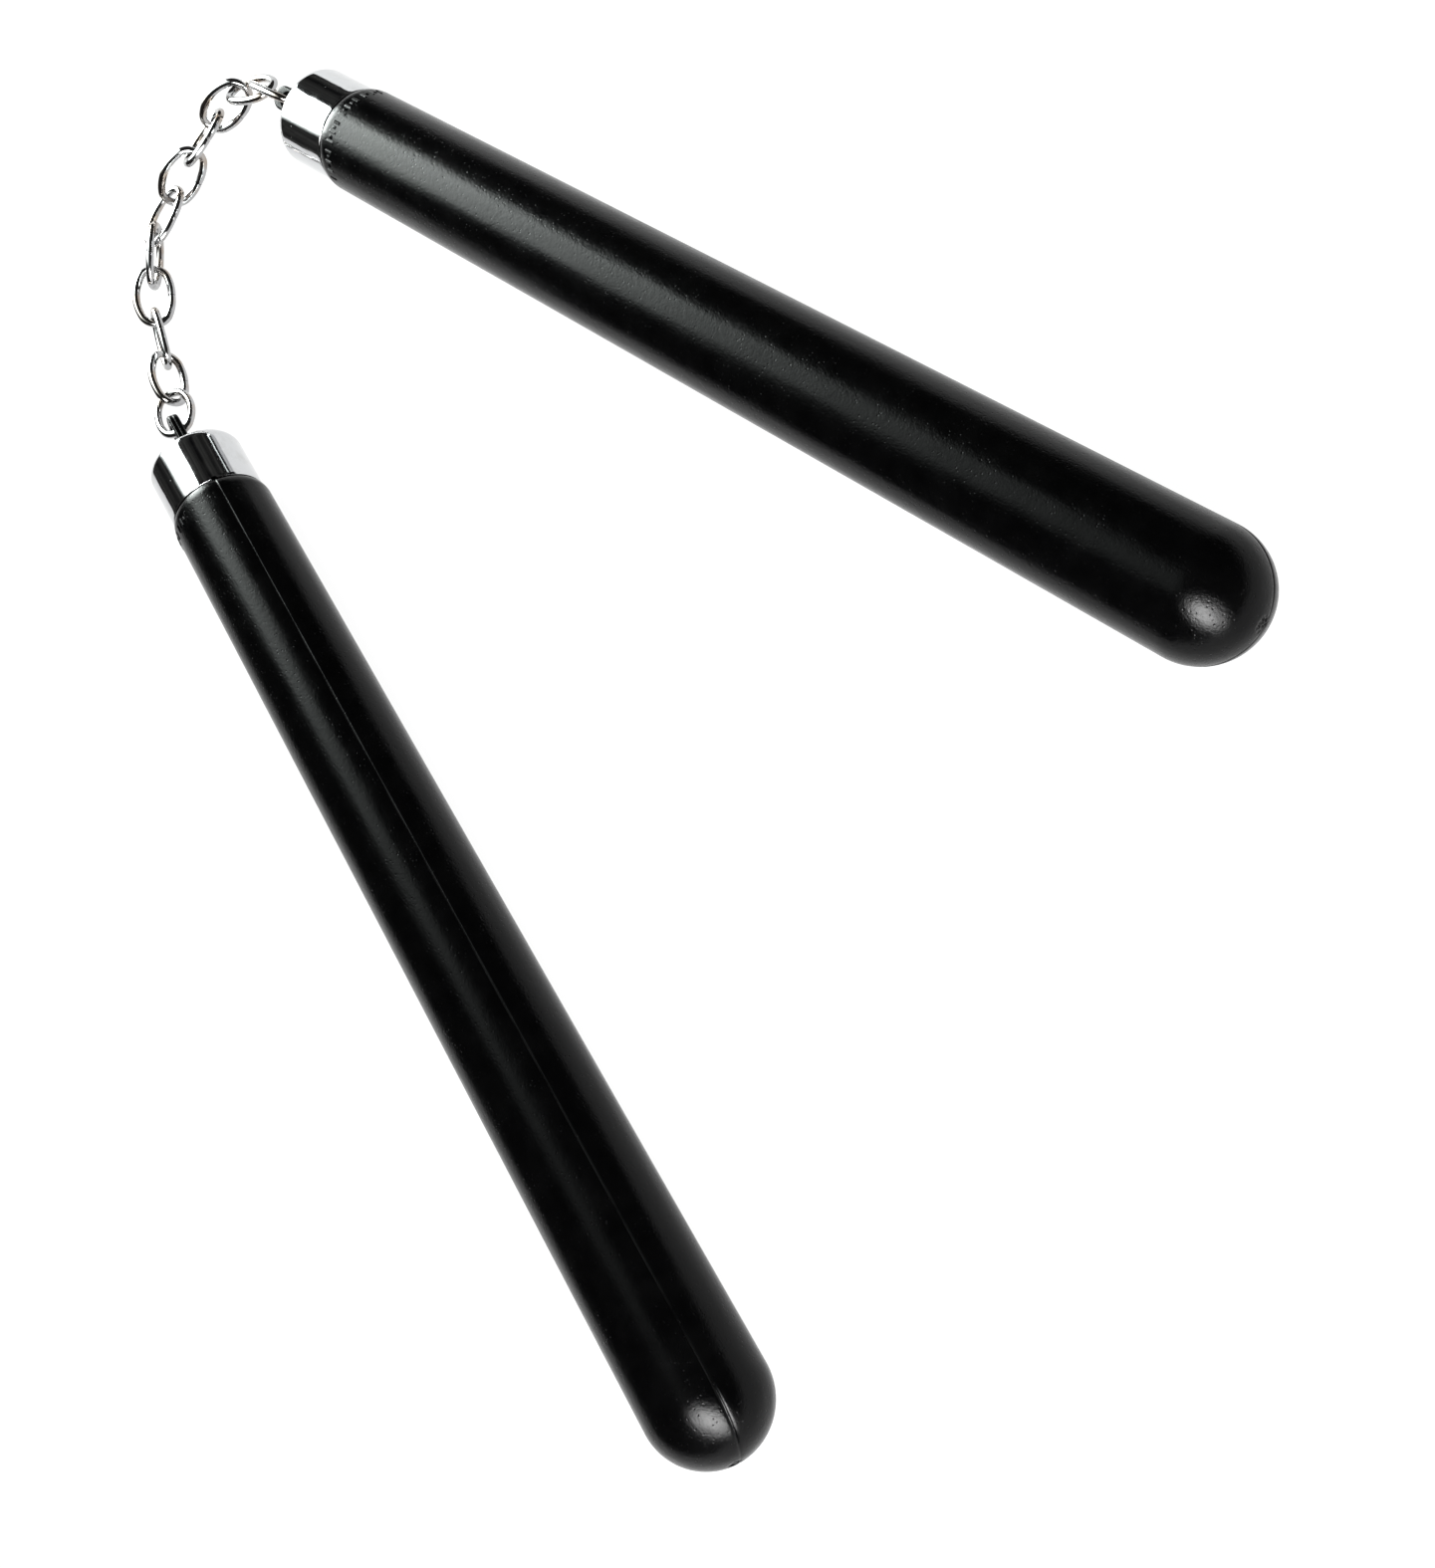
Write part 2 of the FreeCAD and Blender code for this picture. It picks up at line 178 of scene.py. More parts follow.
def chain_places(start):
    """The links' places, from the chain hole of stick a onwards."""
    places = []
    tip = None
    for heading, rise, roll, play in CHAIN_LAY:
        x_axis, z_axis = link_axes(heading, rise, roll)
        if tip is None:
            near = start - x_axis * (LUG_SEAT * MM)
        else:
            near = tip - (last_axis + x_axis).normalized() * (spacing * MM)
        centre = near + x_axis * (LINK_HALF_LENGTH * MM)
        places.append(place_matrix(centre, x_axis, z_axis))
        tip = centre + x_axis * (LINK_HALF_LENGTH * MM)
        last_axis = x_axis
        spacing = play
    return places


place_a = stick_place(mounts["grip_a"], joints["lug_a_swing"])
place_b = stick_place(mounts["grip_b"], joints["lug_b_swing"])
link_places = chain_places(place_a @ Vector((-HOLE_REACH * MM, 0, 0)))


# Mesh helpers ---------------------------------------------------------------------------------

def arc_points(start, end, radius, left_turn, steps):
    """Points from start to end along the shorter arc, without start itself.

    left_turn says that the arc's centre lies to the left of the way from start to end.
    """
    start, end = Vector(start), Vector(end)
    middle = (start + end) / 2
    half = (end - start) / 2
    rise = math.sqrt(max(radius ** 2 - half.length ** 2, 0.0))
    aside = Vector((-half.y, half.x)).normalized() * (rise if left_turn else -rise)
    centre = middle + aside
    first = start - centre
    turn = first.angle_signed(end - centre)
    points = []
    for i in range(1, steps + 1):
        angle = -turn * i / steps
        c, s = math.cos(angle), math.sin(angle)
        points.append(centre + Vector((first.x * c - first.y * s, first.x * s + first.y * c)))
    return points


def straight_points(start, end, steps):
    """Points from start to end along a line, without start itself."""
    start, end = Vector(start), Vector(end)
    return [start.lerp(end, i / steps) for i in range(1, steps + 1)]


def circle(radius, count):
    """Points evenly spaced round a circle."""
    return [(radius * math.cos(2 * math.pi * i / count),
             radius * math.sin(2 * math.pi * i / count)) for i in range(count)]


def join_rings(bm, ring, following):
    """Faces between two closed rings, either of which may be a single point."""
    count = max(len(ring), len(following))
    if count == 1:
        return
    ring, following = (r if len(r) > 1 else r * count for r in (ring, following))
    for i in range(count):
        j = (i + 1) % count
        corners = (ring[i], ring[j], following[j], following[i])
        bm.faces.new(list(dict.fromkeys(corners)))


def face_outward(bm):
    """Turn each closed part of a mesh so that its faces look outwards."""
    bmesh.ops.recalc_face_normals(bm, faces=bm.faces)
    bm.normal_update()
    waiting = set(bm.faces)
    for first in list(bm.faces):
        if first not in waiting:
            continue
        waiting.remove(first)
        part = [first]
        for face in part:
            for edge in face.edges:
                for other in edge.link_faces:
                    if other in waiting:
                        waiting.remove(other)
                        part.append(other)
        volume = sum(face.calc_center_median().dot(face.normal) * face.calc_area()
                     for face in part)
        if volume < 0:
            bmesh.ops.reverse_faces(bm, faces=part)


def add_piece(name, bm, place, body, nodes, material, cutter=None):
    """Make a piece from a bmesh in millimetres, set it in place and let it ride on its body.

    Its own coordinates are kept in an attribute, so that its finish moves with it.
    """
    face_outward(bm)
    mesh = bpy.data.meshes.new(name)
    bm.to_mesh(mesh)
    bm.free()
    piece = bpy.data.objects.new(name, mesh)
    bpy.context.scene.collection.objects.link(piece)
    if cutter is not None:
        cut(piece, cutter)
    mesh = piece.data
    mesh.name = name
    own = mesh.attributes.new(OWN_PLACE, "FLOAT_VECTOR", "POINT")
    for vertex, value in zip(mesh.vertices, own.data):
        value.vector = vertex.co
    mesh.transform(place @ Matrix.Scale(MM, 4))
    mesh.shade_smooth()
    mesh.set_sharp_from_angle(angle=math.radians(SHARP_ANGLE))
    mesh.materials.clear()
    mesh.materials.append(material)
    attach(piece, body)
    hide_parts(*nodes)


def cut(piece, cutter_mesh):
    """Cut a closed mesh out of a piece and keep the result as its mesh."""
    cutter = bpy.data.objects.new("cutter", cutter_mesh)
    bpy.context.scene.collection.objects.link(cutter)
    modifier = piece.modifiers.new("cut", "BOOLEAN")
    modifier.object = cutter
    modifier.operation = "DIFFERENCE"
    modifier.solver = "EXACT"
    bpy.context.view_layer.update()
    graph = bpy.context.evaluated_depsgraph_get()
    mesh = bpy.data.meshes.new_from_object(piece.evaluated_get(graph))
    piece.modifiers.remove(modifier)
    bm = bmesh.new()
    bm.from_mesh(mesh)
    bmesh.ops.dissolve_degenerate(bm, edges=bm.edges, dist=SLIVER)
    bm.to_mesh(mesh)
    bm.free()
    piece.data = mesh
    bpy.data.objects.remove(cutter)


# Stick shells ---------------------------------------------------------------------------------

SEAM_DIP = 0.15            # depth of the seam's groove
SEAM_REACH = 0.20          # its half width
SEAM_END_DIP = 0.34        # the same on the round end, where the halves meet less well
SEAM_END_REACH = 0.34
SEAM_CHANGE = 8.0          # length over which the one becomes the other
SEAM_CUTOFF = 2.5          # the groove stops at so many half widths
SEAM_UNEVEN = 0.55         # how much its depth varies
SEAM_UNEVEN_SCALE = 0.11
SEAM_UNEVEN_PLACE = 3.7    # where in the noise it is read
SEAM_SPACING = [0.0, 0.10, 0.2, 0.32, 0.5, 0.8, 1.3]    # of the shell's points next to the seam
SEAM_START = 0.3           # no groove and no marks before this x
TIP_RADIUS = 1.0           # nor where the round end is narrower than this
MARKS_PAST = 6.2           # the shell's rings lie close together up to here, past the marks
MARK_PITCH = 1.3           # raised marks round the stick next to the cap
MARK_WIDTH = 0.48
MARK_HEIGHT = 0.18
MARK_LONG = (3.45, 5.85)   # where the long and the short marks start and end along the stick
MARK_SHORT = (4.15, 5.15)
MARK_EASE = 0.10           # softness of their sides
MARK_GROUP = 6             # one place in so many is left empty
MARK_ARC = {"a": (12.0, 150.0), "b": (47.0, 150.0)}    # degrees round the top half
GATE_PLACE = (281.0, 0.2, 1.2)     # the moulding's gate, broken off at the tip
GATE_SIZE = 2.4
GATE_DEPTH = 0.38
GATE_SIDE = 1.6            # how fast it deepens from its rim
GATE_GRAIN = 1.7
GATE_LEVEL = 0.5           # what is added to the noise in it


def shell_profile():
    """Outline (x, radius) from the neck's end over the shoulder to the tip of the round end."""
    edge = [(x, SHOULDER_RADIUS + more) for x, more in SHOULDER_EDGE]
    points = [Vector((-NECK_LENGTH, 0.0)), Vector((-NECK_LENGTH, NECK_RADIUS - NECK_CHAMFER)),
              Vector((-NECK_LENGTH + NECK_CHAMFER, NECK_RADIUS)), Vector((0.0, NECK_RADIUS)),
              Vector(edge[0]), Vector(edge[1])]
    points += arc_points(edge[2], (SHOULDER_LENGTH, CAP_SIDE_RADIUS), SHOULDER_ROUND, False,
                         SHOULDER_STEPS)
    taper = (END_RADIUS - CAP_SIDE_RADIUS) / (BARREL_END - SHOULDER_LENGTH)
    past_marks = (MARKS_PAST, CAP_SIDE_RADIUS + (MARKS_PAST - SHOULDER_LENGTH) * taper)
    points += straight_points((SHOULDER_LENGTH, CAP_SIDE_RADIUS), past_marks, MARKS_STEPS)
    points += straight_points(past_marks, (BARREL_END, END_RADIUS), BARREL_STEPS)
    points += arc_points((BARREL_END, END_RADIUS), (STICK_LENGTH, 0.0), END_RADIUS, False,
                         END_STEPS)
    points[-1] = Vector((STICK_LENGTH, 0.0))     # exactly on the axis
    return points


def eased(value):
    """0 below 0, 1 above 1 and a smooth step between."""
    value = min(max(value, 0.0), 1.0)
    return value * value * (3 - 2 * value)


def seam_dip(x, angle, radius):
    """How far the surface drops next to the moulding seam, at angles 0 and 180."""
    end = eased((x - BARREL_END) / SEAM_CHANGE + 0.5)
    reach = SEAM_REACH + (SEAM_END_REACH - SEAM_REACH) * end
    away = radius * min(angle, math.pi - angle)
    if away >= reach * SEAM_CUTOFF:
        return 0.0
    depth = SEAM_DIP + (SEAM_END_DIP - SEAM_DIP) * end
    uneven = noise(Vector((x * SEAM_UNEVEN_SCALE, 0.0, SEAM_UNEVEN_PLACE)))
    depth *= 1.0 + SEAM_UNEVEN * uneven
    return depth * math.exp(-(away / reach) ** 2)


def mark_rise(x, angle, arc):
    """Height of the raised marks: a plain row of long and short dashes."""
    if not MARK_LONG[0] - MARK_EASE < x < MARK_LONG[1] + MARK_EASE:
        return 0.0
    start, end = (math.radians(a) for a in arc)
    if not start < angle < end:
        return 0.0
    place = (angle - start) * CAP_SIDE_RADIUS
    number = int(place / MARK_PITCH)
    if number % MARK_GROUP == MARK_GROUP - 1:
        return 0.0
    low, high = MARK_LONG if number % 2 == 0 else MARK_SHORT
    across = abs(place - (number + 0.5) * MARK_PITCH)
    side = eased((MARK_WIDTH / 2 + MARK_EASE - across) / (2 * MARK_EASE))
    ends = eased((min(x - low, high - x) + MARK_EASE) / (2 * MARK_EASE))
    return MARK_HEIGHT * side * ends


def gate_scar(spot):
    """Depth of the rough patch left where the moulding was broken off its gate."""
    away = (spot - Vector(GATE_PLACE)).length / GATE_SIZE
    if away >= 1.0:
        return 0.0
    grain = max(GATE_LEVEL + noise(spot * GATE_GRAIN), 0.0)
    return GATE_DEPTH * eased(GATE_SIDE * (1 - away)) * grain


def half_angles():
    """Angles round half of the stick, closer together next to the seam."""
    low = [away / END_RADIUS for away in SEAM_SPACING]
    count = HALF_TURN_FACETS
    middle = [low[-1] + (math.pi - 2 * low[-1]) * i / count for i in range(1, count)]
    return low + middle + [math.pi - a for a in reversed(low)]


def shell_mesh(side, mark_arc):
    """One moulded half: the barrel's outside, the flat seam face, the neck and half the lug.

    side is 1 for the top half and -1 for the bottom half.
    """
    bm = bmesh.new()
    angles = half_angles()
    rings = []
    for x, radius in shell_profile():
        ring = []
        for angle in angles if radius else angles[:1]:
            reach = radius
            if x > SEAM_START and radius > TIP_RADIUS:
                reach -= seam_dip(x, angle, radius)
                if mark_arc:
                    reach += mark_rise(x, angle, mark_arc)
            spot = Vector((x, reach * math.cos(angle), side * reach * math.sin(angle)))
            if x > BARREL_END:
                spot -= (spot - Vector((BARREL_END, 0, 0))).normalized() * gate_scar(spot)
            ring.append(bm.verts.new(spot))
        rings.append(ring if radius else ring * len(angles))
    for ring, following in zip(rings, rings[1:]):
        for i in range(len(angles) - 1):
            corners = (ring[i], ring[i + 1], following[i + 1], following[i])
            bm.faces.new(list(dict.fromkeys(corners)))
    bm.faces.new([ring[0] for ring in rings] + [ring[-1] for ring in reversed(rings[1:-1])])
    lug_half(bm, side)
    return bm


def lug_outline(inset):
    """Outline of the lug round its hole, as points by direction from the hole's middle.

    A point lies on the round end, on one of the straight sides or on the root inside the neck.
    """
    half_width = LUG_HALF_WIDTH - inset
    end_middle = -LUG_REACH + LUG_HALF_WIDTH
    offset = -HOLE_REACH - end_middle
    root = -NECK_LENGTH + LUG_ROOT
    points = []
    for i in range(LUG_FACETS):
        angle = 2 * math.pi * i / LUG_FACETS
        dx, dy = math.cos(angle), math.sin(angle)
        to_end = -dx * offset + math.sqrt(max(half_width ** 2 - (dy * offset) ** 2, 0.0))
        to_side = half_width / max(abs(dy), 1e-9)
        if -HOLE_REACH + dx * to_end < end_middle:
            reach = to_end
        elif -HOLE_REACH + dx * to_side < root:
            reach = to_side
        else:
            reach = (root + HOLE_REACH) / dx
        points.append((-HOLE_REACH + dx * reach, dy * reach))
    return points


def lug_half(bm, side):
    """Half of the chain lug with rounded outer edges and an eased hole."""
    rings = []

    def ring(points, z):
        rings.append([bm.verts.new((x, y, side * z)) for x, y in points])

    def hole(radius):
        return [(-HOLE_REACH + x, y) for x, y in circle(radius, LUG_FACETS)]

    ring(hole(HOLE_RADIUS), 0.0)
    for i in range(HOLE_EDGE_STEPS + 1):
        angle = math.pi / 2 * i / HOLE_EDGE_STEPS
        ring(hole(HOLE_RADIUS + HOLE_EASE * (1 - math.cos(angle))),
             LUG_HALF_THICKNESS - HOLE_EASE * (1 - math.sin(angle)))
    for i in range(LUG_EDGE_STEPS + 1):
        angle = math.pi / 2 * i / LUG_EDGE_STEPS
        ring(lug_outline(LUG_EDGE * (1 - math.sin(angle))),
             LUG_HALF_THICKNESS - LUG_EDGE * (1 - math.cos(angle)))
    for inset, height in LUG_SEAM:
        ring(lug_outline(inset), height)
    for inner, outer in zip(rings, rings[1:]):
        join_rings(bm, inner, outer)
    join_rings(bm, rings[0], rings[-1])


# Caps -----------------------------------------------------------------------------------------

def cap_mesh():
    """The plated cup, turned about its axis, with a rolled rim."""
    bm = bmesh.new()
    inner = CAP_RADIUS - CAP_WALL
    crown_edge = -CAP_LENGTH + CAP_CROWN
    under_top = -CAP_LENGTH + CAP_TOP
    rim_side = -RIM_GAP - RIM_CHAMFER
    outline = [Vector((-RIM_GAP, inner)), Vector((-RIM_GAP, CAP_RADIUS - RIM_CHAMFER))]
    outline += arc_points((-RIM_GAP, CAP_RADIUS - RIM_CHAMFER), (rim_side, CAP_RADIUS),
                          RIM_CHAMFER, True, CAP_RIM_STEPS)
    outline += straight_points((rim_side, CAP_RADIUS), (crown_edge + CAP_CORNER, CAP_RADIUS),
                               CAP_SIDE_STEPS)
    outline += arc_points((crown_edge + CAP_CORNER, CAP_RADIUS),
                          (crown_edge, CAP_RADIUS - CAP_CORNER), CAP_CORNER, True,
                          CAP_CORNER_STEPS)
    outline += arc_points((crown_edge, CAP_RADIUS - CAP_CORNER), (-CAP_LENGTH, 0.0),
                          CAP_CROWN_ROUND, True, CAP_CROWN_STEPS)
    outline += [Vector((under_top, 0.0)), Vector((under_top, inner - CAP_CORNER / 2)),
                Vector((under_top + CAP_CORNER / 2, inner))]
    rings = []
    for x, radius in outline:
        round_axis = circle(radius, CAP_FACETS) if radius > 1e-6 else [(0, 0)]
        rings.append([bm.verts.new((x, y, z)) for y, z in round_axis])
    for ring, following in zip(rings, rings[1:] + rings[:1]):
        join_rings(bm, ring, following)
    return bm


def slot_and_notch():
    """What is cut out of a cap: the slot for the lug and the half-round notch in the rim."""
    bm = bmesh.new()
    half_width = LUG_HALF_WIDTH + SLOT_PLAY
    half_height = LUG_HALF_THICKNESS + SLOT_PLAY
    slot = bmesh.ops.create_cube(bm, size=1.0)["verts"]
    bmesh.ops.scale(bm, vec=(SLOT_DEPTH, 2 * half_width, 2 * half_height), verts=slot)
    bmesh.ops.translate(bm, vec=(-CAP_LENGTH + SLOT_INSIDE, 0, 0), verts=slot)
    edges = [e for e in bm.edges if abs(e.verts[0].co.x - e.verts[1].co.x) > SLOT_DEPTH / 2]
    bmesh.ops.bevel(bm, geom=edges, offset=SLOT_CORNER, segments=SLOT_CORNER_STEPS,
                    affect="EDGES", profile=0.5)
    notch = bmesh.ops.create_cone(bm, cap_ends=True, segments=NOTCH_FACETS, radius1=NOTCH_RADIUS,
                                  radius2=NOTCH_RADIUS, depth=NOTCH_DEPTH)["verts"]
    bmesh.ops.rotate(bm, cent=(0, 0, 0), matrix=Matrix.Rotation(math.pi / 2, 3, "X"), verts=notch)
    bmesh.ops.translate(bm, vec=(0, CAP_RADIUS - NOTCH_INSIDE, 0), verts=notch)
    mesh = bpy.data.meshes.new("cutter")
    bm.to_mesh(mesh)
    bm.free()
    return mesh


# Links ----------------------------------------------------------------------------------------

def link_path():
    """The middle of the wire, from one side of the butt joint round to the other."""
    reach = LINK_HALF_LENGTH - LINK_END_ROUND
    share = LINK_END_ROUND / (LINK_SIDE_ROUND - LINK_END_ROUND)
    jx = reach + reach * share       # where a side's arc meets an end's arc
    jy = (LINK_SIDE_ROUND - LINK_HALF_WIDTH) * share
    width, length = LINK_HALF_WIDTH, LINK_HALF_LENGTH
    end, side, steps = LINK_END_ROUND, LINK_SIDE_ROUND, LINK_ARC_STEPS
    points = [Vector((0.0, width))]
    for start, stop, radius, count in (
            ((0, width), (jx, jy), side, steps),
            ((jx, jy), (length, 0), end, steps),
            ((length, 0), (jx, -jy), end, steps),
            ((jx, -jy), (-jx, -jy), side, 2 * steps),
            ((-jx, -jy), (-length, 0), end, steps),
            ((-length, 0), (-jx, jy), end, steps),
            ((-jx, jy), (-BUTT_GAP, width), side, steps)):
        points += arc_points(start, stop, radius, False, count)
    return points


def link_mesh(seed):
    """One wire bent to an oval, its sheared ends meeting on a long side.

    seed makes each link's surface uneven in its own way.
    """
    bm = bmesh.new()
    path = link_path()
    last = len(path) - 1
    rings = []
    for i, point in enumerate(path):
        before = path[max(i - 1, 0)]
        after = path[min(i + 1, last)]
        along = (after - before).normalized()
        across = Vector((-along.y, along.x))
        pinch = WIRE_PINCH * math.exp(-min(i, last - i) / PINCH_RINGS)
        ring = []
        for k in range(WIRE_FACETS):
            angle = 2 * math.pi * k / WIRE_FACETS
            spot = Vector((point.x, point.y, math.sin(angle))) * WIRE_UNEVEN_SCALE
            uneven = WIRE_UNEVEN * (1 + noise(spot + Vector((0, 0, seed * SEED_STEP))))
            radius = WIRE_RADIUS - uneven - pinch
            flat = point + across * (radius * math.cos(angle))
            ring.append(bm.verts.new((flat.x, flat.y, radius * math.sin(angle))))
        rings.append(ring)
    for ring, following in zip(rings, rings[1:]):
        join_rings(bm, ring, following)
    for ring, bulge in ((rings[0], -END_BULGE), (rings[-1], END_BULGE)):
        middle = sum((v.co for v in ring), Vector()) / WIRE_FACETS
        inner = [bm.verts.new(v.co.lerp(middle, END_INSET) + Vector((bulge, 0, 0))) for v in ring]
        join_rings(bm, ring, inner)
        bm.faces.new(inner)
    return bm


# Materials ------------------------------------------------------------------------------------

OWN_PLACE = "own_mm"       # each point's place in its piece's own frame, in millimetres

# The Mix node's colour sockets
MIX_FIRST = 6
MIX_SECOND = 7
MIX_RESULT = 2

# Linear colours
PLASTIC_DARK = (0.0008, 0.0008, 0.0009)
PLASTIC_PALE = (0.0018, 0.0018, 0.0019)
CHROME_CLEAN = (0.60, 0.605, 0.615)
CHROME_RUBBED = (0.52, 0.52, 0.515)
WIRE_CLEAN = (0.46, 0.46, 0.465)
WIRE_WORN = (0.32, 0.31, 0.295)
WIRE_TINT = (0.41, 0.34, 0.28)
FLOOR_PALE = (0.080, 0.080, 0.080)
FLOOR_DULL = (0.074, 0.074, 0.0745)


class Nodes:
    """A material with short calls for adding nodes and joining them.

    Texture scales are per millimetre, because the coordinates are in millimetres. Bump distances
    are in metres.
    """

    def __init__(self, name):
        self.material = bpy.data.materials.new(name)
        self.material.use_nodes = True
        self.tree = self.material.node_tree
        self.shader = self.tree.nodes["Principled BSDF"]
        coordinates = self.tree.nodes.new("ShaderNodeAttribute")
        coordinates.attribute_name = OWN_PLACE
        self.place = coordinates.outputs["Vector"]

    def add(self, kind, inputs=None, **settings):
        """A new node; an input is given either a value or the socket to link to it."""
        node = self.tree.nodes.new(kind)
        for key, value in settings.items():
            setattr(node, key, value)
        for key, value in (inputs or {}).items():
            if isinstance(value, bpy.types.NodeSocket):
                self.tree.links.new(value, node.inputs[key])
            else:
                node.inputs[key].default_value = value
        return node

    def stretched(self, scale):
        """Coordinates scaled by (x, y, z) before a texture."""
        return self.add("ShaderNodeMapping", {"Vector": self.place, "Scale": scale}).outputs[0]

    def noise(self, scale, detail, roughness, vector=None):
        """Noise between 0 and 1 in the piece's own coordinates, unless others are given."""
        return self.add("ShaderNodeTexNoise", {
            "Vector": vector or self.place, "Scale": scale, "Detail": detail,
            "Roughness": roughness}).outputs["Fac"]

    def ramp(self, value, low, high, to_low, to_high, smooth=False):
        """Map low..high to to_low..to_high and hold the ends."""
        node = self.add("ShaderNodeMapRange", {
            "Value": value, "From Min": low, "From Max": high, "To Min": to_low,
            "To Max": to_high}, clamp=True)
        if smooth:
            node.interpolation_type = "SMOOTHSTEP"
        return node.outputs["Result"]

    def maths(self, operation, a, b):
        return self.add("ShaderNodeMath", {0: a, 1: b}, operation=operation).outputs[0]

    def blend(self, factor, first, second):
        """Mix two colours, each of them three numbers or a socket."""
        node = self.add("ShaderNodeMix", {"Factor": factor}, data_type="RGBA")
        for key, value in ((MIX_FIRST, first), (MIX_SECOND, second)):
            if isinstance(value, bpy.types.NodeSocket):
                self.tree.links.new(value, node.inputs[key])
            else:
                node.inputs[key].default_value = (*value, 1.0)
        return node.outputs[MIX_RESULT]

    def bump(self, height, distance, strength, normal=None):
        """A bump on top of the normal given, or on the bare surface."""
        inputs = {"Height": height, "Distance": distance, "Strength": strength}
        if normal is not None:
            inputs["Normal"] = normal
        return self.add("ShaderNodeBump", inputs).outputs["Normal"]

    def wire(self, **sockets):
        """Set or link the shader's own sockets."""
        for key, value in sockets.items():
            socket = self.shader.inputs[key.replace("_", " ")]
            if isinstance(value, bpy.types.NodeSocket):
                self.tree.links.new(value, socket)
            else:
                socket.default_value = value


def sparse_spots(n, scale, share, size):
    """1 inside scattered round spots and 0 elsewhere; this share of the cells carries a spot."""
    cells = n.add("ShaderNodeTexVoronoi", {"Vector": n.place, "Scale": scale})
    draw = n.add("ShaderNodeSeparateColor", {"Color": cells.outputs["Color"]}).outputs[0]
    picked = n.maths("GREATER_THAN", draw, 1 - share)
    near = n.ramp(cells.outputs["Distance"], 0.0, size, 1.0, 0.0, smooth=True)
    return n.maths("MULTIPLY", near, picked)


def moulded_plastic():
    """Black moulded plastic, half gloss, with sink marks, orange peel, grain, pits and grit."""
    n = Nodes("stick_plastic_black")
    long_waves = n.noise(1.0, 2.0, 0.5, n.stretched((0.014, 0.09, 0.09)))
    grain = n.noise(1.9, 3.0, 0.65)
    patches = n.noise(0.16, 4.0, 0.6)
    crowded = n.ramp(n.noise(0.055, 3.0, 0.6), 0.42, 0.58, 0.55, 1.0)
    pits = n.maths("MULTIPLY", sparse_spots(n, 0.85, 0.80, 0.29), crowded)
    grit = sparse_spots(n, 0.70, 0.15, 0.20)
    peel = n.noise(0.85, 3.0, 0.55)
    colour = n.blend(n.ramp(patches, 0.35, 0.7, 0.0, 1.0), PLASTIC_DARK, PLASTIC_PALE)
    rough = n.maths("ADD", n.ramp(patches, 0.3, 0.7, 0.18, 0.24),
                    n.ramp(grain, 0.3, 0.7, -0.03, 0.03))
    rough = n.maths("ADD", rough, n.maths("MULTIPLY", pits, 0.15))
    normal = n.bump(long_waves, 0.0010, 0.35)
    normal = n.bump(peel, 0.000080, 0.5, normal)
    normal = n.bump(grain, 0.000060, 0.75, normal)
    normal = n.bump(grit, 0.000040, 0.8, normal)
    normal = n.bump(n.maths("SUBTRACT", 1.0, pits), 0.000062, 0.8, normal)
    n.wire(Base_Color=colour, Roughness=rough, Normal=normal, IOR=1.49, Specular_IOR_Level=0.19)
    return n.material


def plated_cap():
    """Bright plated metal with faint orange peel, dust and rubbed patches."""
    n = Nodes("cap_chrome_plate")
    waves = n.noise(0.09, 2.0, 0.5)
    peel = n.noise(0.52, 2.0, 0.5)
    dust = sparse_spots(n, 0.52, 0.14, 0.16)
    rubbed = n.noise(0.24, 4.0, 0.65)
    colour = n.blend(n.ramp(rubbed, 0.5, 0.8, 0.0, 1.0), CHROME_CLEAN, CHROME_RUBBED)
    rough = n.maths("ADD", n.ramp(rubbed, 0.4, 0.8, 0.06, 0.13), n.maths("MULTIPLY", dust, 0.35))
    normal = n.bump(waves, 0.00022, 0.5)
    normal = n.bump(peel, 0.000012, 0.5, normal)
    n.wire(Base_Color=colour, Metallic=1.0, Roughness=rough, Normal=normal)
    return n.material


def plated_wire():
    """Plated steel wire with drawing lines, slight wear and a warm tint here and there."""
    n = Nodes("link_chrome_wire")
    lines = n.noise(1.0, 2.0, 0.6, n.stretched((0.18, 1.4, 1.4)))
    wear = n.noise(0.33, 4.0, 0.65)
    tint = n.noise(0.12, 2.0, 0.5)
    colour = n.blend(n.ramp(wear, 0.5, 0.8, 0.0, 1.0), WIRE_CLEAN, WIRE_WORN)
    colour = n.blend(n.ramp(tint, 0.52, 0.68, 0.0, 0.75), colour, WIRE_TINT)
    rough = n.ramp(wear, 0.35, 0.8, 0.07, 0.20)
    normal = n.bump(lines, 0.000030, 0.35)
    n.wire(Base_Color=colour, Metallic=1.0, Roughness=rough, Normal=normal)
    return n.material


plastic = moulded_plastic()
chrome = plated_cap()
wire = plated_wire()


# Pieces ---------------------------------------------------------------------------------------

cutter = slot_and_notch()
for letter, place in (("a", place_a), ("b", place_b)):
    stick = "stick_%s" % letter
    for half, side in (("top", 1), ("bottom", -1)):
        node = "%s_%s_shell" % (stick, half)
        arc = MARK_ARC[letter] if half == "top" else None
        add_piece(node + "_moulding", shell_mesh(side, arc), place, stick, [node],
                  plastic)
    add_piece(stick + "_cap_plated", cap_mesh(), place, stick, [stick + "_cap"],
              chrome, cutter)

for number, place in enumerate(link_places, start=1):
    add_piece("chain_link_%02d_wire" % number, link_mesh(number), place, "link_%02d" % number,
              ["chain_link_%02d" % number], wire)


# Studio ---------------------------------------------------------------------------------------

# Everything is placed from the point on the table that the camera looks at. Places are in metres.
AIM_TO_RIM = (0.14257, 0.14402, 0.0)      # from that point to the rim of cap a

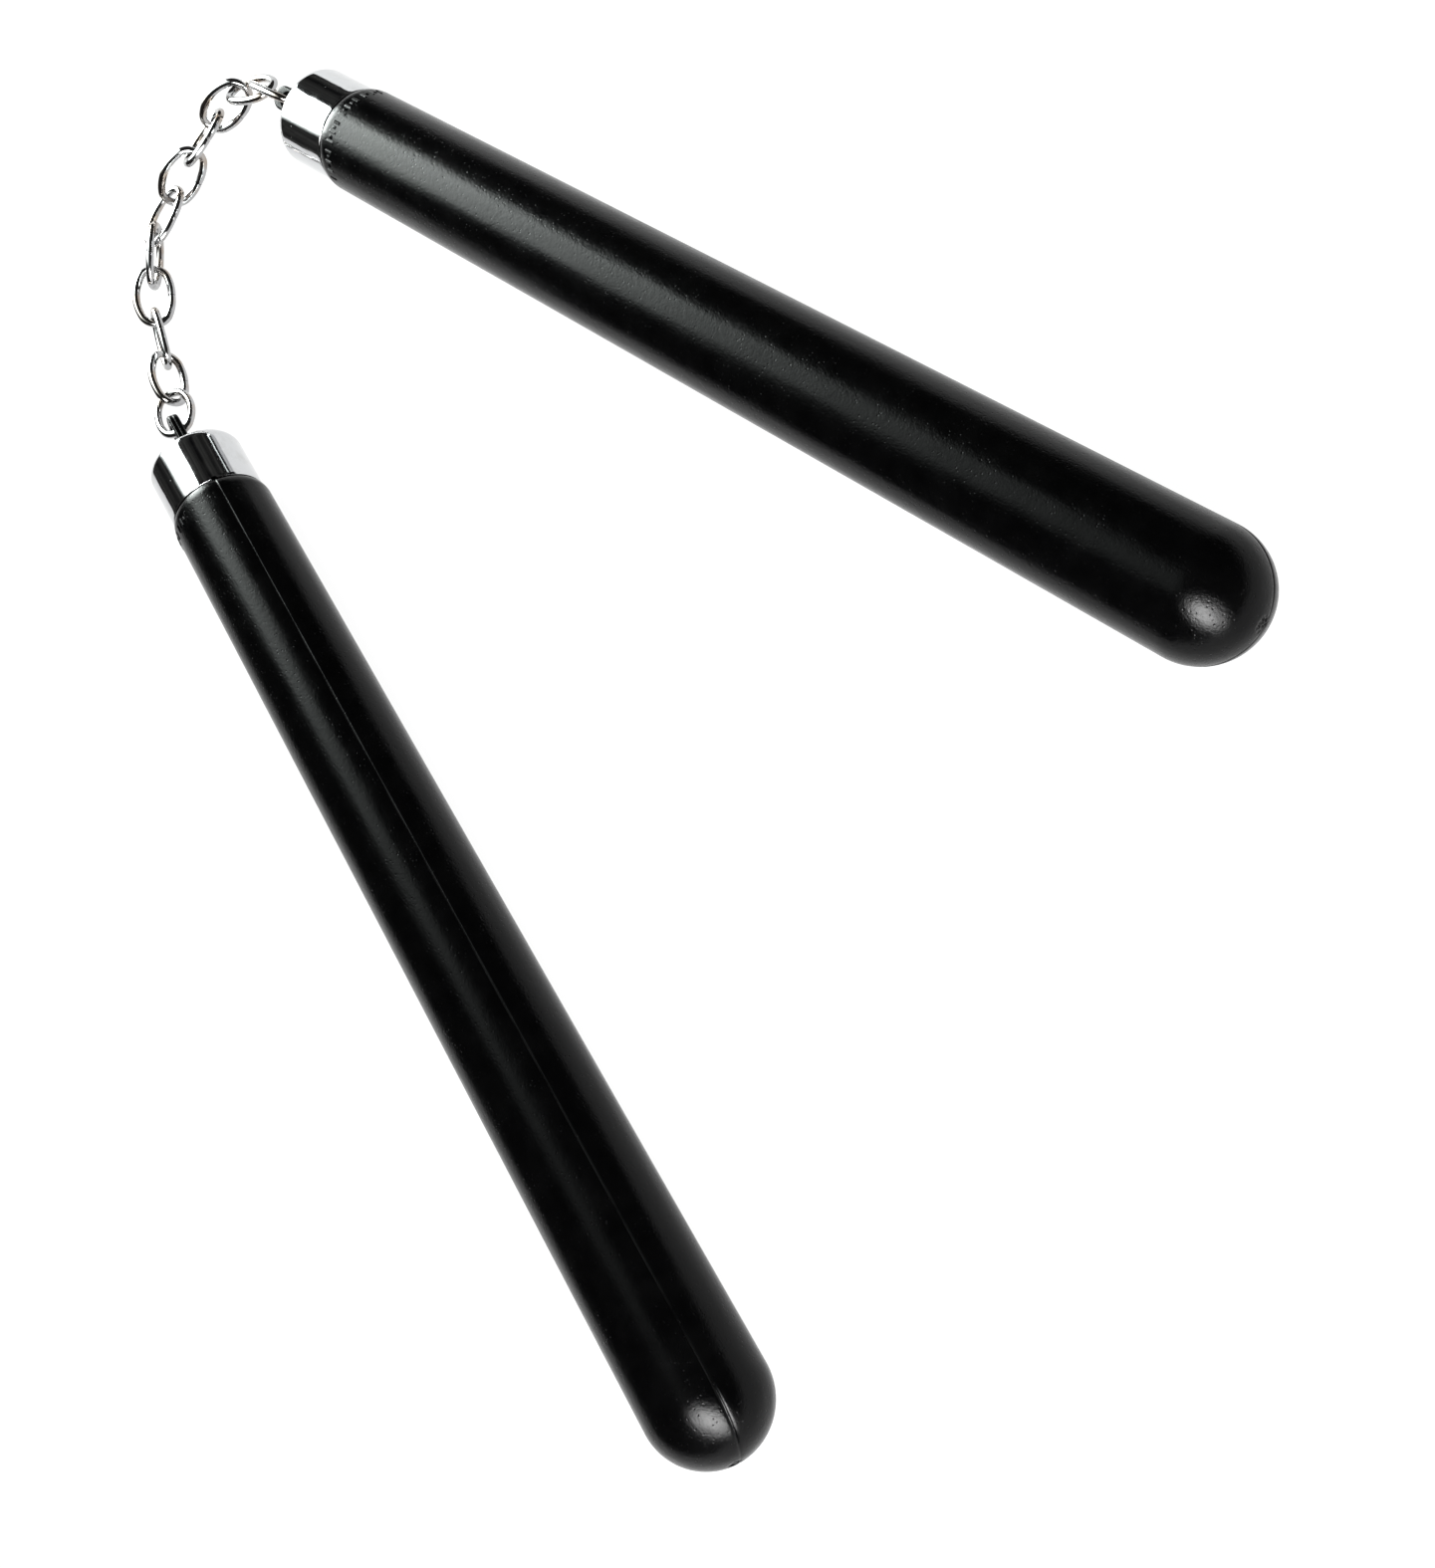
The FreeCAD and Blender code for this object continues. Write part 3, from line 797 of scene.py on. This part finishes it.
CAMERA_ELEVATION = 59.284                 # degrees
CAMERA_ROLL = -76.520
CAMERA_DISTANCE = 0.50556
CAMERA_LENS = 49.76                       # millimetres, on a sensor 36 wide
CAMERA_SENSOR = 36.0
CAMERA_CLIP = 0.01

SOFTBOX_CENTRE = (0.31, 0.479, 0.384)
SOFTBOX_FACING = (0.542, -0.716, -0.439)
SOFTBOX_UPWARD = (-0.386, -0.676, 0.626)
SOFTBOX_SIZE = (0.73, 1.30)
SOFTBOX_COLOUR = (0.94, 1.0, 0.975)
SOFTBOX_RADIANCE = 22.0
SOFTBOX_FADE = [(0.0, 0.12), (0.10, 0.22), (0.2, 0.80), (0.27, 0.97), (0.35, 0.90),
                (0.425, 0.77), (0.5, 0.55), (0.575, 0.31), (0.65, 0.15), (0.75, 0.056),
                (1.0, 0.018)]             # share of its height from the bottom, and brightness
SOFTBOX_SIDES = (0.28, 0.46)              # it fades between these shares of its width

LAMP_CENTRE = (-0.244, -0.303, 0.298)     # a smaller lamp on the other side, over the round ends
LAMP_SIZE = (0.80, 0.40)
LAMP_TILT = -35.0                         # turn of its long side as the camera sees it, degrees
LAMP_RADIANCE = 29.0

FLOOR_HALF_SIZE = 3.0
FLOOR_DROP = 0.0003
FLOOR_GLOW = 0.80
ROOM_DARK = (0.008, 0.008, 0.009, 1.0)
ROOM_PALE = (0.085, 0.085, 0.081, 1.0)
ROOM_SEEN = (0.805, 0.805, 0.805, 1.0)    # as bright as the far floor looks


def aim_point():
    """The point on the table that the camera looks at."""
    rim = place_a.translation
    return Vector((rim.x, rim.y, 0.0)) - Vector(AIM_TO_RIM)


def camera_axes():
    """The camera's right, up and backward directions."""
    elevation = math.radians(CAMERA_ELEVATION)
    roll = math.radians(CAMERA_ROLL)
    back = Vector((0, -math.cos(elevation), math.sin(elevation)))
    level = Vector((1, 0, 0))
    upward = Vector((0, math.sin(elevation), math.cos(elevation)))
    right = level * math.cos(roll) + upward * math.sin(roll)
    up = upward * math.cos(roll) - level * math.sin(roll)
    return right, up, back


def floor_material():
    """A pale, slightly uneven floor that glows, so that the far floor stays as pale as the near."""
    n = Nodes("floor_white")
    spot = n.add("ShaderNodeNewGeometry").outputs["Position"]
    mottle = n.noise(9.0, 3.0, 0.5, spot)
    colour = n.blend(n.ramp(mottle, 0.3, 0.7, 0.0, 1.0), FLOOR_PALE, FLOOR_DULL)
    n.wire(Base_Color=colour, Roughness=0.9, Specular_IOR_Level=0.0,
           Emission_Color=(1.0, 1.0, 1.0, 1.0), Emission_Strength=FLOOR_GLOW)
    return n.material


def add_floor():
    """The floor, which is no part of the object, just below it."""
    bm = bmesh.new()
    bmesh.ops.create_grid(bm, x_segments=8, y_segments=8, size=FLOOR_HALF_SIZE)
    mesh = bpy.data.meshes.new("floor")
    bm.to_mesh(mesh)
    bm.free()
    floor = bpy.data.objects.new("floor", mesh)
    bpy.context.scene.collection.objects.link(floor)
    floor.location = (0, 0, -FLOOR_DROP)
    floor.data.materials.append(floor_material())


def fade_out(tree, value, start, end):
    """1 up to start and 0 from end on."""
    node = tree.nodes.new("ShaderNodeMapRange")
    node.interpolation_type = "SMOOTHSTEP"
    tree.links.new(value, node.inputs["Value"])
    for key, level in (("From Min", start), ("From Max", end), ("To Min", 1.0), ("To Max", 0.0)):
        node.inputs[key].default_value = level
    return node.outputs["Result"]


def maths_node(tree, operation, first, second=None):
    """A Math node; the second input is a number, a socket or left out."""
    node = tree.nodes.new("ShaderNodeMath")
    node.operation = operation
    tree.links.new(first, node.inputs[0])
    if isinstance(second, bpy.types.NodeSocket):
        tree.links.new(second, node.inputs[1])
    elif second is not None:
        node.inputs[1].default_value = second
    return node.outputs[0]


def area_light(name, shape, size, watts, centre, right, up):
    """An area lamp whose brightness is shaped by nodes. It shines against right x up.

    Gives the light, its node tree and the place on its surface, from 0 to 1 both ways.
    """
    light = bpy.data.lights.new(name, "AREA")
    light.shape = shape
    light.size, light.size_y = size
    light.energy = watts
    light.use_nodes = True
    lamp = bpy.data.objects.new(name, light)
    bpy.context.scene.collection.objects.link(lamp)
    turn = Matrix((right, up, right.cross(up))).transposed().to_4x4()
    lamp.matrix_world = Matrix.Translation(aim_point() + Vector(centre)) @ turn
    tree = light.node_tree
    return light, tree, tree.nodes.new("ShaderNodeNewGeometry").outputs["Parametric"]


def add_softbox():
    """A tall soft lamp beyond the chain, leaning over the object and dimmer towards its top."""
    facing = Vector(SOFTBOX_FACING).normalized()
    upward = Vector(SOFTBOX_UPWARD)
    upward = (upward - facing * upward.dot(facing)).normalized()
    width, height = SOFTBOX_SIZE
    light, tree, spot = area_light("softbox", "RECTANGLE", SOFTBOX_SIZE,
                                   SOFTBOX_RADIANCE * math.pi * width * height,
                                   SOFTBOX_CENTRE, upward.cross(-facing), upward)
    light.color = SOFTBOX_COLOUR
    split = tree.nodes.new("ShaderNodeSeparateXYZ")
    tree.links.new(spot, split.inputs["Vector"])
    fade = tree.nodes.new("ShaderNodeValToRGB")
    tree.links.new(split.outputs["Y"], fade.inputs["Fac"])
    stops = fade.color_ramp.elements
    while len(stops) < len(SOFTBOX_FADE):
        stops.new(0.5)
    for stop, (position, level) in zip(stops, SOFTBOX_FADE):
        stop.position = position
        stop.color = (level, level, level, 1.0)
    aside = maths_node(tree, "SUBTRACT", split.outputs["X"], 0.5)
    sides = fade_out(tree, maths_node(tree, "ABSOLUTE", aside), *SOFTBOX_SIDES)
    both = maths_node(tree, "MULTIPLY", fade.outputs["Color"], sides)
    tree.links.new(both, tree.nodes["Emission"].inputs["Strength"])


def add_lamp():
    """A smaller soft lamp with no hard edge, which lights the round ends."""
    back = Vector(LAMP_CENTRE).normalized()
    camera_right, camera_up, _ = camera_axes()
    tilt = math.radians(LAMP_TILT)
    along = camera_right * math.cos(tilt) + camera_up * math.sin(tilt)
    along = (along - back * along.dot(back)).normalized()
    width, height = LAMP_SIZE
    _, tree, spot = area_light("lamp", "ELLIPSE", LAMP_SIZE,
                               LAMP_RADIANCE * math.pi * math.pi / 4 * width * height,
                               LAMP_CENTRE, along, back.cross(along))
    away = tree.nodes.new("ShaderNodeVectorMath")
    away.operation = "DISTANCE"
    away.inputs[1].default_value = (0.5, 0.5, 0.0)
    tree.links.new(spot, away.inputs[0])
    tree.links.new(fade_out(tree, away.outputs["Value"], 0.0, 0.5),
                   tree.nodes["Emission"].inputs["Strength"])


def add_room():
    """A dim room with uneven dark walls; seen directly it is as pale as the floor."""
    world = bpy.data.worlds.new("room")
    bpy.context.scene.world = world
    world.use_nodes = True
    tree = world.node_tree
    background = tree.nodes["Background"]
    coordinates = tree.nodes.new("ShaderNodeTexCoord")
    blotches = tree.nodes.new("ShaderNodeTexNoise")
    blotches.inputs["Scale"].default_value = 7.0
    blotches.inputs["Detail"].default_value = 5.0
    blotches.inputs["Roughness"].default_value = 0.65
    shade = tree.nodes.new("ShaderNodeValToRGB")
    shade.color_ramp.elements[0].position = 0.38
    shade.color_ramp.elements[0].color = ROOM_DARK
    shade.color_ramp.elements[1].position = 0.68
    shade.color_ramp.elements[1].color = ROOM_PALE
    seen = tree.nodes.new("ShaderNodeLightPath")
    choice = tree.nodes.new("ShaderNodeMix")
    choice.data_type = "RGBA"
    choice.inputs[MIX_SECOND].default_value = ROOM_SEEN
    tree.links.new(coordinates.outputs["Generated"], blotches.inputs["Vector"])
    tree.links.new(blotches.outputs["Fac"], shade.inputs["Fac"])
    tree.links.new(seen.outputs["Is Camera Ray"], choice.inputs["Factor"])
    tree.links.new(shade.outputs["Color"], choice.inputs[MIX_FIRST])
    tree.links.new(choice.outputs[MIX_RESULT], background.inputs["Color"])


# Camera ---------------------------------------------------------------------------------------

def add_camera():
    """The camera of the photograph."""
    right, up, back = camera_axes()
    turn = Matrix((right, up, back)).transposed().to_4x4()
    data = bpy.data.cameras.new("camera")
    data.sensor_width = CAMERA_SENSOR
    data.lens = CAMERA_LENS
    data.clip_start = CAMERA_CLIP
    camera = bpy.data.objects.new("camera", data)
    bpy.context.scene.collection.objects.link(camera)
    camera.matrix_world = Matrix.Translation(aim_point() + back * CAMERA_DISTANCE) @ turn
    bpy.context.scene.camera = camera


add_floor()
add_softbox()
add_lamp()
add_room()
add_camera()
bpy.context.scene.view_settings.view_transform = "Standard"
bpy.context.scene.view_settings.look = "Medium High Contrast"

import json
